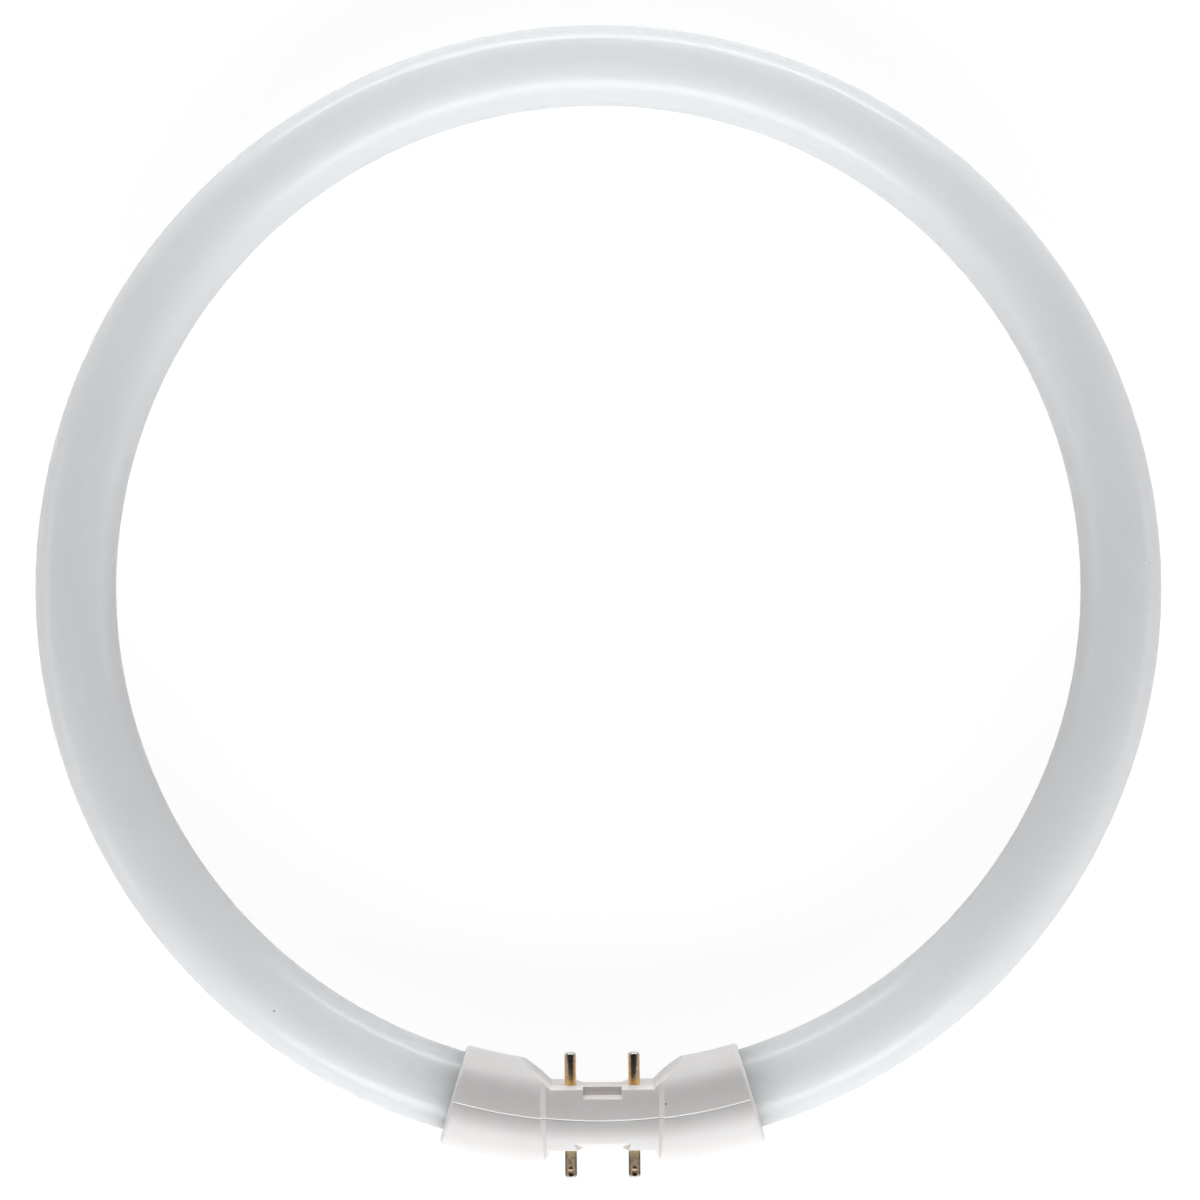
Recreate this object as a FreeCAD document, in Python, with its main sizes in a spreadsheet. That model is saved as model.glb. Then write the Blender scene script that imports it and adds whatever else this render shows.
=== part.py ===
"""Circular fluorescent lamp: a bent glass tube, and a two-part plastic base with four contact pins.

Millimetres. The ring lies in the XY plane around the Z axis, and the base is centred on -Y.
"""
import FreeCAD
import Part
import Sketcher
import math
import os

SIZES = {
    # Glass tube
    "ring_outer_diameter": 225.0,
    "tube_diameter": 16.0,
    "tube_gap": 36.0,
    "tube_end_round": 2.5,
    # Base: the collars round the tube, and the narrower waist between them
    "base_span_angle": 32.9,
    "base_shift": 0.85,
    "collar_wall": 2.1,
    "tube_fit": 0.15,
    "tube_stop_fit": 0.3,
    "rim_round": 0.9,
    "waist_length": 22.2,
    "waist_step": 1.25,
    "waist_ramp_angle": 50.0,
    "inner_crown_radius": 12.0,
    "outer_crown_radius": 9.2,
    # Base: the flat seats of the pins, and the latch notches and lead-in ramps between the pins
    "seat_thickness": 12.2,
    "seat_length": 20.4,
    "seat_wall": 2.4,
    "inner_slope_angle": 43.0,
    "outer_slope_angle": 60.0,
    "notch_width": 7.7,
    "notch_depth": 1.7,
    "notch_land": 6.2,
    "ramp_angle": 19.0,
    "ramp_flare_angle": 21.0,
    # Base: the wire chamber, and the lipped seam between the two shells
    "chamber_depth": 13.0,
    "chamber_room": 1.2,
    "seam_gap": 0.03,
    "seam_step": 0.25,
    "inner_seam_chamfer": 0.28,
    "outer_seam_chamfer": 0.05,
    "lip_thickness": 0.55,
    "lip_height": 1.0,
    "lip_fit": 0.1,
    "lip_setback_angle": 2.0,
    # Contact pins
    "pin_pitch": 12.7,
    "pin_diameter": 2.35,
    "pin_length": 6.4,
    "pin_tip_round": 0.5,
    "pin_tip_wall": 0.8,
    "pin_bore_diameter": 1.3,
    "pin_root_diameter": 2.9,
    "pin_root_fit": 0.03,
    "pin_flange_diameter": 4.4,
    "pin_flange_thickness": 0.6,
    "crimp_radius": 1.1,
    "crimp_depth": 0.38,
    "crimp_from_tip": 1.35,
    # Lead wires
    "wire_diameter": 0.5,
    "wire_pitch": 2.0,
    "wire_bend_radius": 1.5,
}

# How far a cut runs past the solid that it cuts
OVERSHOOT = 2.0
# How near a point lies to a surface that it is on, and how many points of an edge are tried
NEAR = 1e-3
SAMPLES = 5
# The most of a wall that a rounding or chamfer may take
WALL_SHARE = 0.75


class Dimension:
    """A length or an angle: its number, and the expression that ties it to the sheet."""

    def __init__(self, number, text):
        self.number = number
        self.text = text

    def __add__(self, other):
        other = dimension(other)
        return Dimension(self.number + other.number, f"({self.text} + {other.text})")

    def __sub__(self, other):
        other = dimension(other)
        return Dimension(self.number - other.number, f"({self.text} - {other.text})")

    def __mul__(self, other):
        other = dimension(other)
        return Dimension(self.number * other.number, f"({self.text} * {other.text})")

    def __truediv__(self, other):
        other = dimension(other)
        return Dimension(self.number / other.number, f"({self.text} / {other.text})")

    def __neg__(self):
        return Dimension(-self.number, f"(-{self.text})")


def dimension(value):
    """The value as a Dimension, also when it is a plain number."""
    if isinstance(value, Dimension):
        return value
    return Dimension(value, repr(value))


def tangent_of(angle):
    return Dimension(math.tan(math.radians(angle.number)), f"tan({angle.text} * 1 deg)")


def arcsine_of(ratio):
    return Dimension(math.degrees(math.asin(ratio.number)), f"asin({ratio.text})")


def root_of(value):
    return Dimension(math.sqrt(value.number), f"sqrt({value.text})")


def least_of(first, second):
    return Dimension(min(first.number, second.number), f"min({first.text}; {second.text})")


def make_sheet(doc):
    """The sheet of driving sizes, one named cell each."""
    sheet = doc.addObject("Spreadsheet::Sheet", "Sizes")
    for row, (name, number) in enumerate(SIZES.items(), start=1):
        sheet.set(f"A{row}", name)
        sheet.set(f"B{row}", str(number))
        sheet.setAlias(f"B{row}", name)
    doc.recompute()
    return sheet


def size(name):
    """One driving size, read from the sheet."""
    return Dimension(float(sheet.get(name)), f"Sizes.{name}")


def bind(item, path, value):
    item.setExpression(path, dimension(value).text)


def new_body(label):
    body = doc.addObject("PartDesign::Body", label)
    body.Label = label
    return body


def new_sketch(body, name, plane, offset=None):
    """A sketch on one of the body's origin planes, moved along the plane's normal by the offset."""
    sketch = body.newObject("Sketcher::SketchObject", name)
    support = [item for item in body.Origin.OriginFeatures if item.Role == plane][0]
    sketch.AttachmentSupport = [(support, "")]
    sketch.MapMode = "FlatFace"
    if offset is not None:
        bind(sketch, "AttachmentOffset.Base.z", offset)
    return sketch


def vector(x, y):
    return FreeCAD.Vector(dimension(x).number, dimension(y).number, 0)


def fix_coordinate(sketch, kind, axis, element, point, value):
    """Ties one coordinate of a point to a dimension, measured from the sketch's origin."""
    value = dimension(value)
    if value.number == 0:
        sketch.addConstraint(Sketcher.Constraint("PointOnObject", element, point, axis))
        return
    if value.number > 0:
        ends = (-1, 1, element, point)
    else:
        ends = (element, point, -1, 1)
        value = -value
    index = sketch.addConstraint(Sketcher.Constraint(kind, *ends, value.number))
    bind(sketch, f"Constraints[{index}]", value)


def fix_point(sketch, element, point, x, y):
    fix_coordinate(sketch, "DistanceX", -2, element, point, x)
    fix_coordinate(sketch, "DistanceY", -1, element, point, y)


def draw_circle(sketch, x, y, radius):
    centre = vector(x, y)
    circle = Part.Circle(centre, FreeCAD.Vector(0, 0, 1), dimension(radius).number)
    element = sketch.addGeometry(circle, False)
    fix_point(sketch, element, 3, x, y)
    index = sketch.addConstraint(Sketcher.Constraint("Radius", element, dimension(radius).number))
    bind(sketch, f"Constraints[{index}]", radius)


def draw_outline(sketch, corners):
    """A closed outline of straight lines through the corners."""
    elements = []
    for start, end in zip(corners, corners[1:] + corners[:1]):
        line = Part.LineSegment(vector(*start), vector(*end))
        elements.append(sketch.addGeometry(line, False))
    for element, following in zip(elements, elements[1:] + elements[:1]):
        sketch.addConstraint(Sketcher.Constraint("Coincident", element, 2, following, 1))
    for element, corner in zip(elements, corners):
        fix_point(sketch, element, 1, *corner)


def draw_axis(sketch, start, end):
    """A construction line, which a revolved feature takes as its axis."""
    element = sketch.addGeometry(Part.LineSegment(vector(*start), vector(*end)), True)
    fix_point(sketch, element, 1, *start)
    fix_point(sketch, element, 2, *end)


def mirrored_corners(half):
    """The corners at positive x, then the same corners at negative x in reverse order."""
    return half + [(-x, y) for x, y in reversed(half)]


def revolve(body, kind, name, sketch, axis, angle):
    """A revolution or a groove, half of its angle to each side of the sketch."""
    feature = body.newObject(f"PartDesign::{kind}", name)
    feature.Profile = sketch
    feature.ReferenceAxis = (sketch, [axis])
    feature.Midplane = True
    bind(feature, "Angle", angle)
    doc.recompute()
    return feature


def cut_through(body, name, sketch):
    """A pocket through everything, to both sides of the sketch."""
    pocket = body.newObject("PartDesign::Pocket", name)
    pocket.Profile = sketch
    pocket.Type = "ThroughAll"
    pocket.Midplane = True
    doc.recompute()
    return pocket


def cut_slab(body, name, sketch, length):
    """A pocket of a set length, half of it to each side of the sketch."""
    pocket = body.newObject("PartDesign::Pocket", name)
    pocket.Profile = sketch
    pocket.Midplane = True
    bind(pocket, "Length", length)
    doc.recompute()
    return pocket


def dress(body, kind, name, is_wanted, path, value):
    """A fillet or a chamfer on the edges that the test picks from the body's last feature."""
    base = body.Tip
    edges = [f"Edge{i}" for i, edge in enumerate(base.Shape.Edges, start=1) if is_wanted(edge)]
    feature = body.newObject(f"PartDesign::{kind}", name)
    feature.Base = (base, edges)
    bind(feature, path, value)
    doc.recompute()
    return feature


def is_round(edge, radius):
    return isinstance(edge.Curve, Part.Circle) and abs(edge.Curve.Radius - radius.number) < NEAR


def make_tube():
    """The sealed glass tube, open at the bottom of the ring, with rounded ends."""
    body = new_body("glass_tube")
    section = new_sketch(body, "tube_section", "YZ_Plane")
    draw_circle(section, ring_radius, 0, tube_radius)
    revolve(body, "Revolution", "bent_tube", section, "V_Axis", full_turn - tube_end_angle * 2)

    def is_end(edge):
        return is_round(edge, tube_radius)

    dress(body, "Fillet", "sealed_ends", is_end, "Radius", size("tube_end_round"))
    return body


def make_base_blank(label, skin_radius, crown_radius):
    """The base before it is split: two collars on the tube, joined by a solid, narrower waist."""
    body = new_body(label)
    collar = new_sketch(body, "collar_section", "YZ_Plane")
    draw_circle(collar, -base_radius, 0, skin_radius)
    draw_circle(collar, -ring_radius, 0, bore_radius)
    revolve(body, "Revolution", "collars", collar, "V_Axis", size("base_span_angle"))

    bridge = new_sketch(body, "bridge_section", "YZ_Plane")
    draw_circle(bridge, -ring_radius, 0, bore_radius + size("collar_wall") / 2)
    revolve(body, "Revolution", "bridge", bridge, "V_Axis", tube_stop_angle * 2)

    # The waist's crown has a radius of its own, and each face of it is turned about a straight axis.
    near_x = size("waist_length") / 2
    rise = size("waist_step") + OVERSHOOT
    far_x = near_x + rise / tangent_of(size("waist_ramp_angle"))
    near_y = -(base_radius + crown_radius)
    crown_centre = skin_radius - size("waist_step") - crown_radius
    for face_name, face in (("top", 1), ("bottom", -1)):
        waist = new_sketch(body, f"waist_{face_name}_relief", "XY_Plane", crown_centre * face)
        draw_outline(waist, mirrored_corners([(near_x, near_y), (far_x, near_y - rise)]))
        draw_axis(waist, (-near_x, -base_radius), (near_x, -base_radius))
        revolve(body, "Groove", f"waist_{face_name}", waist, "Axis0", full_turn)

    # The chamber is as high as the pins' flanges need, and narrows to the wires at the tube's ends.
    chamber = new_sketch(body, "chamber_plan", "XY_Plane")
    pin_x = pin_offset + size("pin_flange_diameter") / 2 + size("chamber_room")
    pin_half = seat_offset - size("seat_wall")
    tube_x = size("tube_gap") / 2
    tube_y = -(ring_radius * tube_end_cosine)
    tube_half = size("wire_pitch") / 2 + size("wire_diameter") / 2 + size("chamber_room")
    draw_outline(chamber, mirrored_corners([
        (pin_x, pin_half - base_radius), (tube_x, tube_y + tube_half),
        (tube_x, tube_y - tube_half), (pin_x, -pin_half - base_radius),
    ]))
    cut_slab(body, "wire_chamber", chamber, size("chamber_depth"))
    return body


def cut_notch(body, side):
    """A latch notch in the inner seat's upper edge, side 1, or in the outer seat's lower edge, side -1."""
    near_x = size("notch_width") / 2
    near_z = size("notch_land") / 2
    far_z = collar_radius + OVERSHOOT
    plan = new_sketch(body, "latch_notch_plan", "XZ_Plane", base_radius - seat_offset * side)
    draw_outline(plan, mirrored_corners([(near_x, near_z * side), (near_x, far_z * side)]))
    pocket = body.newObject("PartDesign::Pocket", "latch_notch")
    pocket.Profile = plan
    pocket.Reversed = side > 0
    bind(pocket, "Length", size("notch_depth"))
    doc.recompute()


def cut_ramp(body, side):
    """A flared ramp in the seat's other edge, which starts at the same land as the notch does."""
    near_x = size("notch_width") / 2
    far_z = collar_radius + OVERSHOOT
    far_x = near_x + far_z * tangent_of(size("ramp_flare_angle"))
    plan = new_sketch(body, "lead_in_plan", "XZ_Plane", base_radius - seat_offset * side)
    plan.AttachmentOffset.Rotation = FreeCAD.Rotation(FreeCAD.Vector(-1, 0, 0), size("ramp_angle").number)
    bind(plan, "AttachmentOffset.Rotation.Angle", size("ramp_angle") * Dimension(1.0, "1 deg"))
    bind(plan, "AttachmentOffset.Base.y", -(size("notch_land") / 2 * side))
    draw_outline(plan, mirrored_corners([(near_x, 0), (far_x, -(far_z * side))]))
    pocket = body.newObject("PartDesign::Pocket", "lead_in_ramp")
    pocket.Profile = plan
    pocket.Reversed = side < 0
    bind(pocket, "Length", size("notch_depth") + OVERSHOOT)
    doc.recompute()


def cut_pin_side(body, side, slope_angle):
    """The flat seat, its notch and ramp, and the pin holes: side 1 faces the ring's centre, -1 faces out."""
    seat_y = -base_radius + seat_offset * side
    rise = collar_radius - seat_offset + OVERSHOOT
    near_x = size("seat_length") / 2
    far_x = near_x + rise / tangent_of(slope_angle)
    seat = new_sketch(body, "seat_plan", "XY_Plane")
    draw_outline(seat, mirrored_corners([(near_x, seat_y), (far_x, seat_y + rise * side)]))
    cut_through(body, "pin_seat", seat)

    cut_notch(body, side)
    cut_ramp(body, side)

    holes = new_sketch(body, "pin_hole_plan", "XZ_Plane")
    for end in (-1, 1):
        draw_circle(holes, pin_offset * end, 0, pin_root_radius + size("pin_root_fit"))
    cut_through(body, "pin_holes", holes)


def lip_corners(face, near_y, far_y, near_z, far_z):
    low, high = near_z * face, far_z * face
    return [(near_y, low), (far_y, low), (far_y, high), (near_y, high)]


def finish_shell(body, skin_radius, seam_radius, seam_chamfer):
    """Rounds the collars' rims, and breaks the edges of the seam, which shows as a fine line."""

    def is_rim(edge):
        if not is_round(edge, skin_radius):
            return False
        # The waist's crown has round edges too, but their centres lie off the ring's plane.
        return abs(edge.Curve.Axis.z) < NEAR and abs(edge.Curve.Center.z) < NEAR

    def is_seam(edge):
        points = edge.discretize(SAMPLES)
        on_seam = all(abs(math.hypot(p.x, p.y) - seam_radius.number) < NEAR for p in points)
        return on_seam and all(abs(p.z) > bore_radius.number + NEAR for p in points)

    land = least_of(skin_radius - size("waist_step") - rebate_top, skin_radius - bore_radius)
    edge_break = least_of(seam_chamfer, land * WALL_SHARE)
    dress(body, "Chamfer", "seam_edges", is_seam, "Size", edge_break)
    thin_wall = size("collar_wall") - size("base_shift")
    rim_round = least_of(size("rim_round"), thin_wall * WALL_SHARE)
    dress(body, "Fillet", "rims", is_rim, "Radius", rim_round)


def make_inner_shell():
    """The shell on the ring's centre side, whose lip enters the outer shell."""
    body = make_base_blank("base_inner_shell", collar_radius, size("inner_crown_radius"))
    seam_radius = base_radius - size("seam_gap") / 2
    split = new_sketch(body, "outer_half_plan", "XY_Plane")
    draw_circle(split, 0, 0, seam_radius)
    draw_circle(split, 0, 0, base_radius + collar_radius + OVERSHOOT)
    cut_through(body, "seam_cut", split)
    cut_pin_side(body, 1, size("inner_slope_angle"))

    lip = new_sketch(body, "lip_section", "YZ_Plane")
    root_y = -base_radius + size("lip_height")
    tip_y = -base_radius - size("lip_height")
    for face in (1, -1):
        draw_outline(lip, lip_corners(face, root_y, tip_y, chamber_half, lip_top))
    revolve(body, "Revolution", "lip", lip, "V_Axis", lip_span)
    finish_shell(body, collar_radius, seam_radius, size("inner_seam_chamfer"))
    return body


def make_outer_shell():
    """The shell that faces outwards, a little lower at the seam, with the rebate for the other's lip."""
    skin_radius = collar_radius - size("seam_step")
    body = make_base_blank("base_outer_shell", skin_radius, size("outer_crown_radius"))
    seam_radius = base_radius + size("seam_gap") / 2
    split = new_sketch(body, "inner_half_plan", "XY_Plane")
    draw_circle(split, 0, 0, seam_radius)
    cut_through(body, "seam_cut", split)
    cut_pin_side(body, -1, size("outer_slope_angle"))

    rebate = new_sketch(body, "rebate_section", "YZ_Plane")
    open_y = -base_radius + OVERSHOOT
    floor_y = -base_radius - size("lip_height") - size("lip_fit")
    low_z = chamber_half - size("lip_fit")
    for face in (1, -1):
        draw_outline(rebate, lip_corners(face, open_y, floor_y, low_z, rebate_top))
    end_play = arcsine_of(size("lip_fit") / base_radius)
    revolve(body, "Groove", "lip_rebate", rebate, "V_Axis", lip_span + end_play * 2)
    finish_shell(body, skin_radius, seam_radius, size("outer_seam_chamfer"))
    return body


def make_pin(label, end, side):
    """A hollow brass pin in its seat: end is -1 at the left, and side is 1 towards the ring's centre."""
    body = new_body(label)
    flange_top = -size("seat_wall")
    flange_low = flange_top - size("pin_flange_thickness")
    flange_radius = size("pin_flange_diameter") / 2
    bore = size("pin_bore_diameter") / 2
    half = new_sketch(body, "half_section", "XZ_Plane")
    draw_outline(half, [
        (bore, flange_low), (flange_radius, flange_low), (flange_radius, flange_top),
        (pin_root_radius, flange_top), (pin_root_radius, 0), (pin_radius, 0), (pin_radius, pin_length),
        (0, pin_length), (0, pin_bore_end), (bore, pin_bore_end),
    ])
    revolve(body, "Revolution", "turned_pin", half, "V_Axis", full_turn)

    def is_tip(edge):
        return is_round(edge, pin_radius) and abs(edge.Curve.Center.z - pin_length.number) < NEAR

    dress(body, "Fillet", "round_tip", is_tip, "Radius", size("pin_tip_round"))

    # The crimp is one dent, which faces up on the outer pins and down on the inner ones.
    crimp = body.newObject("PartDesign::SubtractiveSphere", "crimp")
    floor = [item for item in body.Origin.OriginFeatures if item.Role == "XY_Plane"][0]
    crimp.AttachmentSupport = [(floor, "")]
    crimp.MapMode = "FlatFace"
    bind(crimp, "Radius", size("crimp_radius"))
    bind(crimp, "AttachmentOffset.Base.y", pin_radius - size("crimp_depth") + size("crimp_radius"))
    bind(crimp, "AttachmentOffset.Base.z", pin_length - size("crimp_from_tip"))
    doc.recompute()

    body.Placement.Rotation = FreeCAD.Rotation(FreeCAD.Vector(1, 0, 0), -90 * side)
    bind(body, "Placement.Base.x", pin_offset * end)
    bind(body, "Placement.Base.y", -base_radius + seat_offset * side)
    doc.recompute()
    return body


def make_wire(label, end, side):
    """A lead wire from the tube's end face, round one bend and up the bore of its pin."""
    body = new_body(label)
    radius = size("wire_bend_radius")
    pin_x = pin_offset * end
    pin_y = -base_radius + (seat_offset + pin_bore_end) * side
    stem_radius = ring_radius - size("wire_pitch") / 2 * side
    stem_x = stem_radius * tube_end_sine * end
    stem_y = -(stem_radius * tube_end_cosine)

    # The bend touches the pin's axis and the wire that leaves the tube square to its end face.
    toward_pin = FreeCAD.Vector(-end * side * tube_end_sine.number, side * tube_end_cosine.number, 0)
    stem = vector(stem_x, stem_y)
    centre_x = pin_x.number + end * radius.number
    across = (centre_x - stem.x) * toward_pin.x
    centre = FreeCAD.Vector(centre_x, stem.y + (radius.number - across) / toward_pin.y, 0)
    bend_at_pin = FreeCAD.Vector(pin_x.number, centre.y, 0)
    bend_at_stem = centre - toward_pin * radius.number
    angle_at_pin = math.atan2(0, -end)
    angle_at_stem = math.atan2(-toward_pin.y, -toward_pin.x)

    path = new_sketch(body, "wire_path", "XY_Plane")
    pin_run = path.addGeometry(Part.LineSegment(vector(pin_x, pin_y), bend_at_pin), False)
    circle = Part.Circle(centre, FreeCAD.Vector(0, 0, 1), radius.number)
    if end * side > 0:
        arc, at_pin, at_stem = Part.ArcOfCircle(circle, angle_at_pin, angle_at_stem), 1, 2
    else:
        arc, at_pin, at_stem = Part.ArcOfCircle(circle, angle_at_stem, angle_at_pin), 2, 1
    bend = path.addGeometry(arc, False)
    stem_run = path.addGeometry(Part.LineSegment(bend_at_stem, stem), False)
    fix_point(path, pin_run, 1, pin_x, pin_y)
    path.addConstraint(Sketcher.Constraint("Vertical", pin_run))
    path.addConstraint(Sketcher.Constraint("Tangent", pin_run, 2, bend, at_pin))
    path.addConstraint(Sketcher.Constraint("Tangent", bend, at_stem, stem_run, 1))
    index = path.addConstraint(Sketcher.Constraint("Radius", bend, radius.number))
    bind(path, f"Constraints[{index}]", radius)
    fix_point(path, stem_run, 2, stem_x, stem_y)
    # The tube's end face holds the ring's centre, so a spoke from there is square to the wire.
    spoke = path.addGeometry(Part.LineSegment(FreeCAD.Vector(0, 0, 0), stem), True)
    path.addConstraint(Sketcher.Constraint("Coincident", spoke, 1, -1, 1))
    path.addConstraint(Sketcher.Constraint("Coincident", spoke, 2, stem_run, 2))
    path.addConstraint(Sketcher.Constraint("Perpendicular", spoke, stem_run))

    section = new_sketch(body, "wire_section", "XZ_Plane", -pin_y)
    draw_circle(section, pin_x, 0, size("wire_diameter") / 2)
    doc.recompute()
    pipe = body.newObject("PartDesign::AdditivePipe", "bent_wire")
    pipe.Profile = section
    pipe.Spine = (path, ["Edge1", "Edge2", "Edge3"])
    doc.recompute()
    return body


def write_steps(bodies):
    """Checks every object, then writes each sub-part to its own file."""
    for item in doc.Objects:
        if "Invalid" in item.State or "Error" in item.State:
            raise RuntimeError(f"{item.Name} failed: {item.State}")
    for body in bodies:
        if body.Shape.isNull() or not body.Shape.isValid() or len(body.Shape.Solids) != 1:
            raise RuntimeError(f"{body.Label} is not one valid solid")
    os.makedirs("parts", exist_ok=True)
    for body in bodies:
        body.Shape.exportStep(f"parts/{body.Label}.step")
        print(f"{body.Label}: {body.Shape.Volume:.1f} mm3")


doc = FreeCAD.newDocument("circular_fluorescent_lamp")
sheet = make_sheet(doc)

full_turn = Dimension(360.0, "360 deg")
tube_radius = size("tube_diameter") / 2
ring_radius = size("ring_outer_diameter") / 2 - tube_radius
base_radius = ring_radius + size("base_shift")
tube_end_sine = size("tube_gap") / 2 / ring_radius
tube_end_cosine = root_of(-(tube_end_sine * tube_end_sine) + 1)
tube_end_angle = arcsine_of(tube_end_sine)
tube_stop_angle = arcsine_of((size("tube_gap") / 2 - size("tube_stop_fit")) / ring_radius)
bore_radius = tube_radius + size("tube_fit")
collar_radius = bore_radius + size("collar_wall")
chamber_half = size("chamber_depth") / 2
lip_top = chamber_half + size("lip_thickness")
lip_span = (tube_stop_angle - size("lip_setback_angle") * Dimension(1.0, "1 deg")) * 2
rebate_top = lip_top + size("lip_fit")
seat_offset = size("seat_thickness") / 2
pin_radius = size("pin_diameter") / 2
pin_root_radius = size("pin_root_diameter") / 2
pin_length = size("pin_length")
pin_bore_end = pin_length - size("pin_tip_wall")
pin_offset = size("pin_pitch") / 2

sub_parts = [make_tube(), make_inner_shell(), make_outer_shell()]
for side_name, side in (("inner", 1), ("outer", -1)):
    for end_name, end in (("left", -1), ("right", 1)):
        sub_parts.append(make_pin(f"{side_name}_pin_{end_name}", end, side))
        sub_parts.append(make_wire(f"lead_wire_{side_name}_{end_name}", end, side))
write_steps(sub_parts)
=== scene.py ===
"""Looks of the circular fluorescent lamp: white coated glass, moulded base, brass pins, seen from above.

Metres, in the frame of the model: the ring lies around Z, and the base is at -Y.
"""
import bpy
import math
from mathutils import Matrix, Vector


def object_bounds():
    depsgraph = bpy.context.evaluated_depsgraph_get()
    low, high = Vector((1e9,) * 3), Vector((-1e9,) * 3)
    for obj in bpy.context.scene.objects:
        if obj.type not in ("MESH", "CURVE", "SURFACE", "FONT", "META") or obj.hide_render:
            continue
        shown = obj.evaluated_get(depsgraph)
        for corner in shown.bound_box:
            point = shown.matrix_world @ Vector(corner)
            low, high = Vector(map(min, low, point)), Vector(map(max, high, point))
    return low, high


# Camera: straight above, turned a little, with the photograph's field of 240 mm on the plane of the ring
CAMERA_HEIGHT = 0.65
FIELD = 0.24
SENSOR_WIDTH = 36.0
IMAGE_CENTRE = (0.0003, -0.0024)
CAMERA_TURN = -0.44

# Light: a room that fades from the horizon, 0, to overhead, 1, and large soft lamps on its four sides
ROOM_COLOUR = (1.0, 0.955, 0.955)
ROOM_LIGHT = 0.32
ROOM_ZENITH = 0.02
ROOM_FADE = (0.15, 0.5)
COOL_LIGHT = (0.955, 1.0, 1.02)
WARM_LIGHT = (1.0, 0.965, 0.98)
LAMPS = {
    # name: position, width, height, power in watts, colour
    "front_softbox": ((0.1, -3.74, 2.11), 6.0, 1.8, 226.0, COOL_LIGHT),
    "back_softbox": ((0.0, 4.0, 0.40), 6.0, 0.7, 164.0, COOL_LIGHT),
    "left_softbox": ((-4.0, -0.6, 0.46), 4.0, 0.8, 34.0, WARM_LIGHT),
    "right_softbox": ((4.0, -0.6, 0.46), 4.0, 0.8, 34.0, WARM_LIGHT),
}

# Floor: size, gap to the lamp, albedo for the light on the lamp, and the glow and shade the camera sees
FLOOR_SIZE = 6.0
FLOOR_CLEARANCE = 0.00005
FLOOR_ALBEDO = 0.5
FLOOR_GLOW = 0.93
FLOOR_SHADE = 0.16

# Pins: the line between inner and outer pins, how far from it feet and tips are, and the tinned length
BASE_LINE = -0.10535
PIN_FOOT = (0.0066, 0.0084)
PIN_REACH = 0.0125
PIN_X = 0.00635
PIN_RADIUS = 0.001175
TINNED_LENGTH = 0.0006

# Crimp near a pin's tip: its middle, where a highlight is painted, and the two spots of painted shade
# beside it
CRIMP_FROM_TIP = 0.00135
CRIMP_HEIGHT = 0.001
CRIMP_STEP = 0.00062
CRIMP_RADIUS = 0.00058

# Finish of the pins by side. The flanks get painted light and shade, a painted golden highlight on the
# inner pins and painted shade on the outer ones, whose share changes along the pin
PIN_FINISH = {
    "inner": {
        "foot": (0.92, 0.58, 0.20), "shank": (0.70, 0.53, 0.44), "stain": (0.42, 0.31, 0.27),
        # The inner pins' flank colour is a painted golden highlight
        "painted_flank_light_and_shade": (0.88, 0.64, 0.28), "painted_flank_span": (0.0092, 0.0116), "painted_flank_share": (0.9, 0.25),
        "tip": (0.46, 0.45, 0.39), "roughness": (0.24, 0.40),
    },
    "outer": {
        "foot": (0.74, 0.58, 0.30), "shank": (0.62, 0.49, 0.33), "stain": (0.30, 0.23, 0.15),
        # The outer pins' flank colour is painted shade
        "painted_flank_light_and_shade": (0.10, 0.08, 0.06), "painted_flank_span": (0.0068, 0.0082), "painted_flank_share": (0.2, 0.95),
        "tip": (0.66, 0.62, 0.57), "roughness": (0.52, 0.64),
    },
}

# Shared values: the span in which noise mostly lies, and the refraction of glass and plastic
NOISE_SPAN = (0.3, 0.7)
IOR = 1.5

# Coated glass: the coat's two tints, its clouds and how far light travels in it, and its powder grains
GLASS_TINTS = ((0.893, 0.911, 0.940), (0.921, 0.915, 0.937))
GLASS_CLOUDS = 28.0
GLASS_ROUGHNESS = (0.42, 0.5)
GLASS_SCATTER = 0.06
POWDER_TINT = (0.82, 0.85, 0.88)
POWDER_GRAIN = 900.0
POWDER_SPAN = (0.55, 0.8)
POWDER_SHARE = 0.25

# Moulded plastic: tints, clouds, reach of light, grain as a share of the gate mark's depth, and that depth
PLASTIC_TINTS = ((0.810, 0.768, 0.746), (0.835, 0.795, 0.775))
PLASTIC_CLOUDS = 90.0
PLASTIC_ROUGHNESS = (0.38, 0.46)
PLASTIC_SCATTER = 0.0005
PLASTIC_GRAIN = 6000.0
GRAIN_SHARE = 0.06
GATE_DEPTH = 0.00006

# Surface of the pins: stains, fine lines along Y, where the painted light and shade of the flanks starts
# and is full, and the crimp's painted shade and painted highlight
PIN_STAINS = 1400.0
STAIN_SPAN = (0.4, 0.65)
DRAWN_LINES = (9000.0, 500.0, 9000.0)
DRAWN_DEPTH = 0.00002
PAINTED_FLANK_FROM = 0.4 * PIN_RADIUS
PAINTED_FLANK_TO = 0.85 * PIN_RADIUS
# Painted shade for the crimp's dent, and a painted copper highlight for its middle with that highlight's
# radius
DENT_PAINTED_SHADE = (0.03, 0.015, 0.01)
CRIMP_PAINTED_HIGHLIGHT = (0.95, 0.58, 0.42)
CRIMP_HIGHLIGHT_RADIUS = 0.9 * CRIMP_RADIUS

# Surface of the lead wires
WIRE_TINTS = ((0.62, 0.60, 0.57), (0.45, 0.43, 0.41))
WIRE_STAINS = 1200.0
WIRE_ROUGHNESS = (0.25, 0.45)

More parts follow.
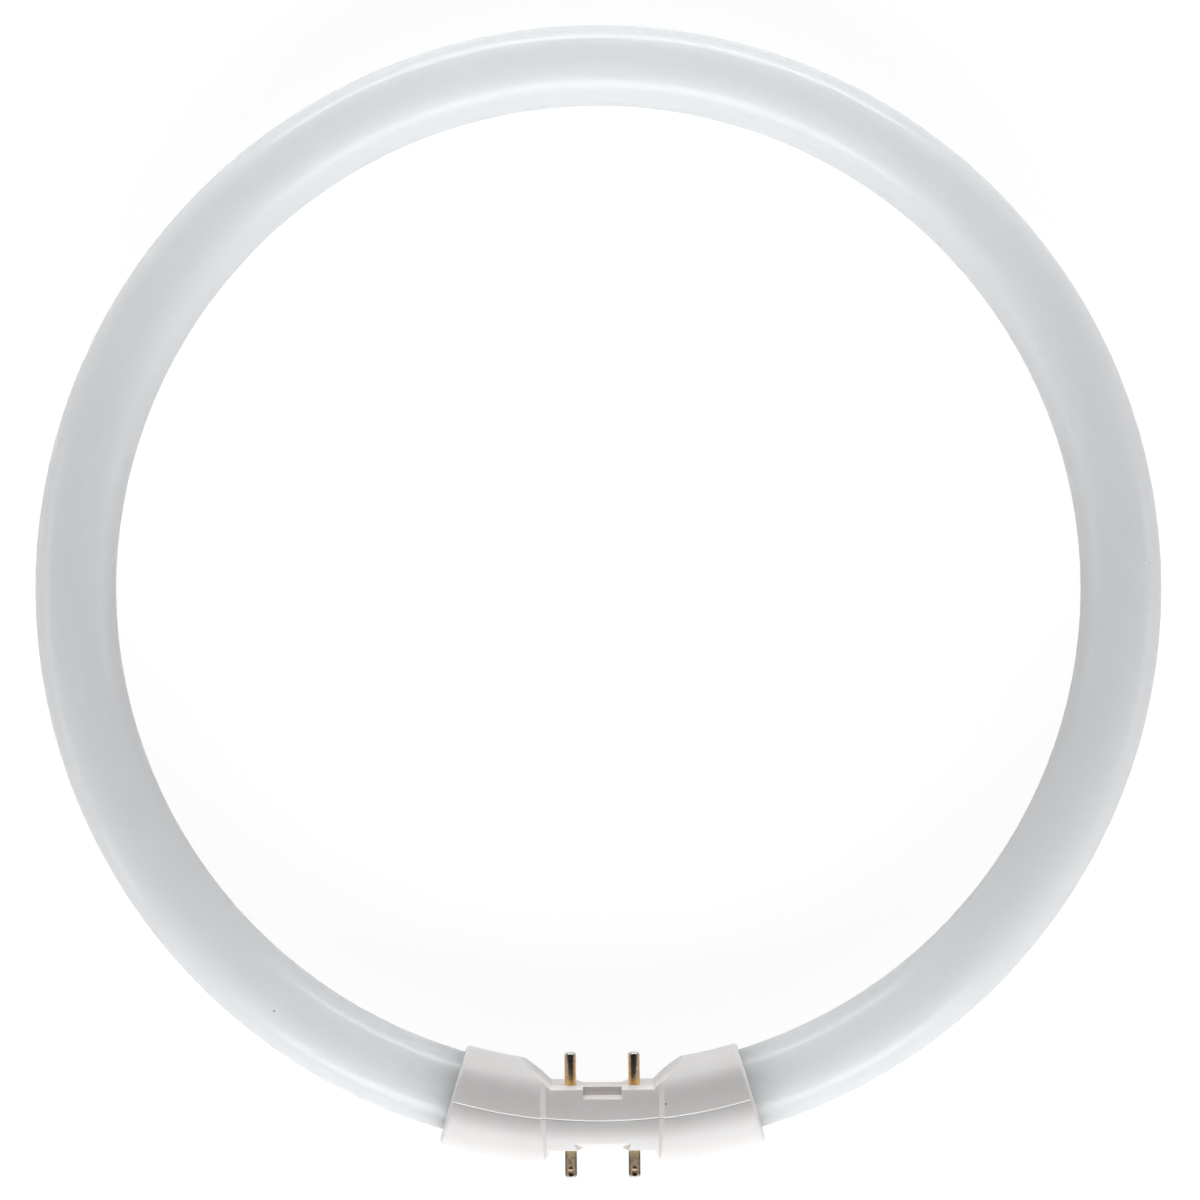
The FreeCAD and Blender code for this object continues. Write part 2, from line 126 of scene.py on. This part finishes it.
# Marks: tints, places and radii of the specks, and the gate mark's place, half width and half length
GLASS_SPECK_TINT = (0.35, 0.33, 0.33)
BASE_SPECK_TINT = (0.38, 0.35, 0.34)
GLASS_SPECKS = (((0.1093, 0.0042, 0.0063), 0.00035), ((-0.0647, -0.0831, 0.0079), 0.00030))
BASE_SPECK = ((0.0125, -0.1018, 0.0098), 0.00030)
GATE_MARK = ((-0.0005, -0.1090, 0.0082), 0.00012, 0.0016)


class Shader:
    """A material's node tree, with short ways to add nodes and to join them."""

    def __init__(self, name):
        self.material = bpy.data.materials.new(name)
        self.material.use_nodes = True
        self.tree = self.material.node_tree
        self.surface = self.tree.nodes["Principled BSDF"]
        self.output = self.tree.nodes["Material Output"]

    def node(self, kind, **settings):
        """A new node: names of its properties in small letters, and of its inputs with a capital."""
        made = self.tree.nodes.new("ShaderNode" + kind)
        for name, value in settings.items():
            if name[0].islower():
                setattr(made, name, value)
            else:
                made.inputs[name.replace("_", " ")].default_value = value
        return made

    def join(self, source, target):
        self.tree.links.new(source, target)

    def set(self, **inputs):
        """Sets the surface's own inputs."""
        for name, value in inputs.items():
            self.surface.inputs[name.replace("_", " ")].default_value = value

    def feed(self, **outputs):
        """Joins other nodes' outputs to the surface's inputs."""
        for name, output in outputs.items():
            self.join(output, self.surface.inputs[name.replace("_", " ")])

    def position(self):
        """The point in the frame of the model, in metres."""
        return self.node("TexCoord").outputs["Object"]

    def across(self, place):
        """The point's first coordinate."""
        made = self.node("SeparateXYZ")
        self.join(place, made.inputs["Vector"])
        return made.outputs["X"]

    def stretched(self, place, scale):
        """The point with its three coordinates scaled."""
        made = self.node("Mapping", Scale=scale)
        self.join(place, made.inputs["Vector"])
        return made.outputs["Vector"]

    def noise(self, place, scale, detail=2.0, roughness=0.5):
        made = self.node("TexNoise", Scale=scale, Detail=detail, Roughness=roughness)
        self.join(place, made.inputs["Vector"])
        return made.outputs["Fac"]

    def spread(self, value, low, high, to_low, to_high):
        """The value, moved from one range to another and kept inside it."""
        made = self.node("MapRange", From_Min=low, From_Max=high, To_Min=to_low, To_Max=to_high)
        self.join(value, made.inputs["Value"])
        return made.outputs["Result"]

    def combine(self, operation, first, second):
        """A Math node of two values: each one a number or another node's output."""
        made = self.node("Math", operation=operation)
        for socket, value in zip(made.inputs, (first, second)):
            if isinstance(value, float):
                socket.default_value = value
            else:
                self.join(value, socket)
        return made.outputs["Value"]

    def distance(self, place, point):
        made = self.node("VectorMath", operation="DISTANCE")
        self.join(place, made.inputs[0])
        made.inputs[1].default_value = point
        return made.outputs["Value"]

    def spot(self, place, point, radius):
        """1 in the middle of a small ball round the point, falling to 0 at its surface."""
        return self.spread(self.distance(place, point), 0.5 * radius, radius, 1.0, 0.0)

    def mix(self, share, first, second):
        """A colour between two: each one a colour or another node's output."""
        made = self.node("Mix", data_type="RGBA")
        self.join(share, made.inputs["Factor"])
        for name, colour in (("A", first), ("B", second)):
            socket = [item for item in made.inputs if item.identifier == f"{name}_Color"][0]
            if isinstance(colour, tuple):
                socket.default_value = (*colour, 1.0)
            else:
                self.join(colour, socket)
        return [item for item in made.outputs if item.identifier == "Result_Color"][0]

    def bump(self, height, strength, distance):
        made = self.node("Bump", Strength=strength, Distance=distance)
        self.join(height, made.inputs["Height"])
        self.feed(Normal=made.outputs["Normal"])


def coated_glass():
    """Clear glass over a white powder coat, which lets some light through the tube."""
    shader = Shader("coated_glass")
    place = shader.position()
    clouds = shader.noise(place, GLASS_CLOUDS, 3.0)
    powder = shader.noise(place, POWDER_GRAIN, 4.0, 0.6)
    tint = shader.mix(shader.spread(clouds, *NOISE_SPAN, 0.0, 1.0), *GLASS_TINTS)
    grains = shader.spread(powder, *POWDER_SPAN, 0.0, POWDER_SHARE)
    tint = shader.mix(grains, tint, POWDER_TINT)
    for point, radius in GLASS_SPECKS:
        tint = shader.mix(shader.spot(place, point, radius), tint, GLASS_SPECK_TINT)
    shader.feed(Base_Color=tint)
    shader.feed(Roughness=shader.spread(clouds, *NOISE_SPAN, *GLASS_ROUGHNESS))
    shader.set(IOR=IOR, Specular_IOR_Level=0.3, Coat_Weight=0.3, Coat_Roughness=0.2, Coat_IOR=IOR)
    shader.set(Subsurface_Weight=1.0, Subsurface_Radius=(1.0, 1.0, 1.0), Subsurface_Scale=GLASS_SCATTER)
    shader.bump(clouds, 0.2, 0.0004)
    return shader.material


def base_plastic():
    """White moulded plastic with a fine grain, a speck of dirt and the mark of the moulding gate."""
    shader = Shader("base_plastic")
    place = shader.position()
    clouds = shader.noise(place, PLASTIC_CLOUDS, 3.0)
    tint = shader.mix(shader.spread(clouds, *NOISE_SPAN, 0.0, 1.0), *PLASTIC_TINTS)
    tint = shader.mix(shader.spot(place, *BASE_SPECK), tint, BASE_SPECK_TINT)
    shader.feed(Base_Color=tint)
    shader.feed(Roughness=shader.spread(clouds, *NOISE_SPAN, *PLASTIC_ROUGHNESS))
    grain = shader.noise(place, PLASTIC_GRAIN)
    (gate_x, gate_y, gate_z), gate_half, gate_reach = GATE_MARK
    flat = shader.stretched(place, (gate_reach / gate_half, 1.0, 1.0))
    gate = shader.spot(flat, (gate_x * gate_reach / gate_half, gate_y, gate_z), gate_reach)
    height = shader.combine("SUBTRACT", shader.combine("MULTIPLY", grain, GRAIN_SHARE), gate)
    shader.bump(height, 1.0, GATE_DEPTH)
    shader.set(IOR=IOR, Specular_IOR_Level=0.3)
    shader.set(Subsurface_Weight=0.7, Subsurface_Radius=(1.0, 0.95, 0.9))
    shader.set(Subsurface_Scale=PLASTIC_SCATTER)
    return shader.material


def pin_brass(name, pin_x, side, finish):
    """Drawn brass with stains of tarnish, a tinned tip, painted light and shade on its flanks, and a crimp
    painted with dark spots of shade and a copper highlight.
    """
    shader = Shader(name)
    place = shader.position()
    stains = shader.noise(place, PIN_STAINS, 4.0, 0.6)
    drawn = shader.noise(shader.stretched(place, DRAWN_LINES), 1.0)
    reach = shader.distance(place, (pin_x, BASE_LINE, 0.0))
    tint = shader.mix(shader.spread(stains, *STAIN_SPAN, 0.0, 1.0), finish["shank"], finish["stain"])
    tint = shader.mix(shader.spread(reach, *PIN_FOOT, 1.0, 0.0), tint, finish["foot"])
    # Painted light and shade on both sides of the pin across X: a painted highlight on the inner pins,
    # painted shade on the outer ones
    offset = shader.combine("ABSOLUTE", shader.combine("SUBTRACT", shader.across(place), pin_x), 0.0)
    painted_flank_light_and_shade = shader.spread(offset, PAINTED_FLANK_FROM, PAINTED_FLANK_TO, 0.0, 1.0)
    share = shader.spread(reach, *finish["painted_flank_span"], *finish["painted_flank_share"])
    tint = shader.mix(shader.combine("MULTIPLY", painted_flank_light_and_shade, share), tint, finish["painted_flank_light_and_shade"])
    tip = shader.spread(reach, PIN_REACH - TINNED_LENGTH, PIN_REACH - 0.5 * TINNED_LENGTH, 0.0, 1.0)
    tint = shader.mix(tip, tint, finish["tip"])
    crimp_y = BASE_LINE + side * (PIN_REACH - CRIMP_FROM_TIP)
    # Two dark spots of painted shade, above and below the crimp's middle
    for step in (-CRIMP_STEP, CRIMP_STEP):
        painted_shade_point = (pin_x, crimp_y + step, -side * CRIMP_HEIGHT)
        tint = shader.mix(shader.spot(place, painted_shade_point, CRIMP_RADIUS), tint, DENT_PAINTED_SHADE)
    # A painted copper-pink highlight in the crimp's middle
    crimp = shader.spot(place, (pin_x, crimp_y, -side * CRIMP_HEIGHT), CRIMP_HIGHLIGHT_RADIUS)
    tint = shader.mix(crimp, tint, CRIMP_PAINTED_HIGHLIGHT)
    shader.feed(Base_Color=tint)
    shader.feed(Roughness=shader.spread(stains, *NOISE_SPAN, *finish["roughness"]))
    shader.bump(drawn, 0.15, DRAWN_DEPTH)
    shader.set(Metallic=1.0)
    return shader.material


def lead_metal():
    """Bright nickel-plated wire."""
    shader = Shader("lead_metal")
    place = shader.position()
    stains = shader.noise(place, WIRE_STAINS, 3.0)
    shader.feed(Base_Color=shader.mix(stains, *WIRE_TINTS))
    shader.feed(Roughness=shader.spread(stains, *NOISE_SPAN, *WIRE_ROUGHNESS))
    shader.set(Metallic=1.0)
    return shader.material


def floor_white():
    """A pale floor: it looks white to the camera and in reflections, and keeps a soft shadow."""
    shader = Shader("floor_white")
    shader.set(Base_Color=(FLOOR_ALBEDO, FLOOR_ALBEDO, FLOOR_ALBEDO, 1.0), Roughness=0.9)
    shade = shader.node("BsdfDiffuse", Color=(FLOOR_SHADE, FLOOR_SHADE, FLOOR_SHADE, 1.0))
    glow = shader.node("Emission", Strength=FLOOR_GLOW)
    seen = shader.node("AddShader")
    shader.join(shade.outputs["BSDF"], seen.inputs[0])
    shader.join(glow.outputs["Emission"], seen.inputs[1])
    path = shader.node("LightPath").outputs
    view = shader.combine("MAXIMUM", path["Is Camera Ray"], path["Is Glossy Ray"])
    view = shader.combine("MAXIMUM", view, path["Is Transmission Ray"])
    choice = shader.node("MixShader")
    shader.join(view, choice.inputs["Fac"])
    shader.join(shader.surface.outputs["BSDF"], choice.inputs[1])
    shader.join(seen.outputs["Shader"], choice.inputs[2])
    shader.join(choice.outputs["Shader"], shader.output.inputs["Surface"])
    return shader.material


def dress_node(name, material):
    """Gives a CAD node its material."""
    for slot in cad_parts[name].material_slots:
        slot.material = material


def make_floor(height):
    """A wide floor just under the lamp."""
    bpy.ops.mesh.primitive_plane_add(size=FLOOR_SIZE, location=(0, 0, height))
    floor = bpy.context.object
    floor.name = "floor"
    floor.data.materials.append(floor_white())


def make_lamp(name, place, width, height, power, colour):
    """A rectangular soft lamp that faces the middle of the ring."""
    light = bpy.data.lights.new(name, "AREA")
    light.shape = "RECTANGLE"
    light.size = width
    light.size_y = height
    light.energy = power
    light.color = colour
    lamp = bpy.data.objects.new(name, light)
    bpy.context.scene.collection.objects.link(lamp)
    lamp.location = place
    lamp.rotation_euler = (-Vector(place)).to_track_quat("-Z", "Y").to_euler()


def make_world():
    """A soft room, dark straight above the lamp."""
    world = bpy.data.worlds.new("studio")
    bpy.context.scene.world = world
    world.use_nodes = True
    nodes = world.node_tree.nodes
    links = world.node_tree.links
    direction = nodes.new("ShaderNodeTexCoord")
    parts = nodes.new("ShaderNodeSeparateXYZ")
    links.new(direction.outputs["Generated"], parts.inputs["Vector"])
    fade = nodes.new("ShaderNodeMapRange")
    fade.inputs["From Min"].default_value = ROOM_FADE[0]
    fade.inputs["From Max"].default_value = ROOM_FADE[1]
    fade.inputs["To Min"].default_value = ROOM_LIGHT
    fade.inputs["To Max"].default_value = ROOM_ZENITH
    links.new(parts.outputs["Z"], fade.inputs["Value"])
    background = nodes["Background"]
    background.inputs["Color"].default_value = (*ROOM_COLOUR, 1.0)
    links.new(fade.outputs["Result"], background.inputs["Strength"])


def make_camera():
    """A camera that looks straight down, turned a little as in the photograph."""
    data = bpy.data.cameras.new("camera")
    data.sensor_width = SENSOR_WIDTH
    data.lens = SENSOR_WIDTH * CAMERA_HEIGHT / FIELD
    camera = bpy.data.objects.new("camera", data)
    bpy.context.scene.collection.objects.link(camera)
    camera.location = (*IMAGE_CENTRE, CAMERA_HEIGHT)
    camera.rotation_euler = (0.0, 0.0, math.radians(CAMERA_TURN))
    bpy.context.scene.camera = camera


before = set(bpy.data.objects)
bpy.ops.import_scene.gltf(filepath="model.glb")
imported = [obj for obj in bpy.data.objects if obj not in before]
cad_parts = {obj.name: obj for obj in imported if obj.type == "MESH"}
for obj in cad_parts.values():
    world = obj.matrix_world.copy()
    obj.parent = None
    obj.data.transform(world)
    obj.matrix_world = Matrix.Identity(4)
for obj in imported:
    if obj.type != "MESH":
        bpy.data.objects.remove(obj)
cad_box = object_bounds()

bpy.context.scene.view_settings.view_transform = "Standard"
make_camera()
make_world()
for lamp_name, lamp_values in LAMPS.items():
    make_lamp(lamp_name, *lamp_values)
make_floor(cad_box[0][2] - FLOOR_CLEARANCE)

plastic = base_plastic()
wire_metal = lead_metal()
dress_node("glass_tube", coated_glass())
for node in ("base_inner_shell", "base_outer_shell"):
    dress_node(node, plastic)
for side_name, side in (("inner", 1), ("outer", -1)):
    for end_name, end in (("left", -1), ("right", 1)):
        pin = f"{side_name}_pin_{end_name}"
        dress_node(pin, pin_brass(f"{pin}_brass", end * PIN_X, side, PIN_FINISH[side_name]))
        dress_node(f"lead_wire_{side_name}_{end_name}", wire_metal)
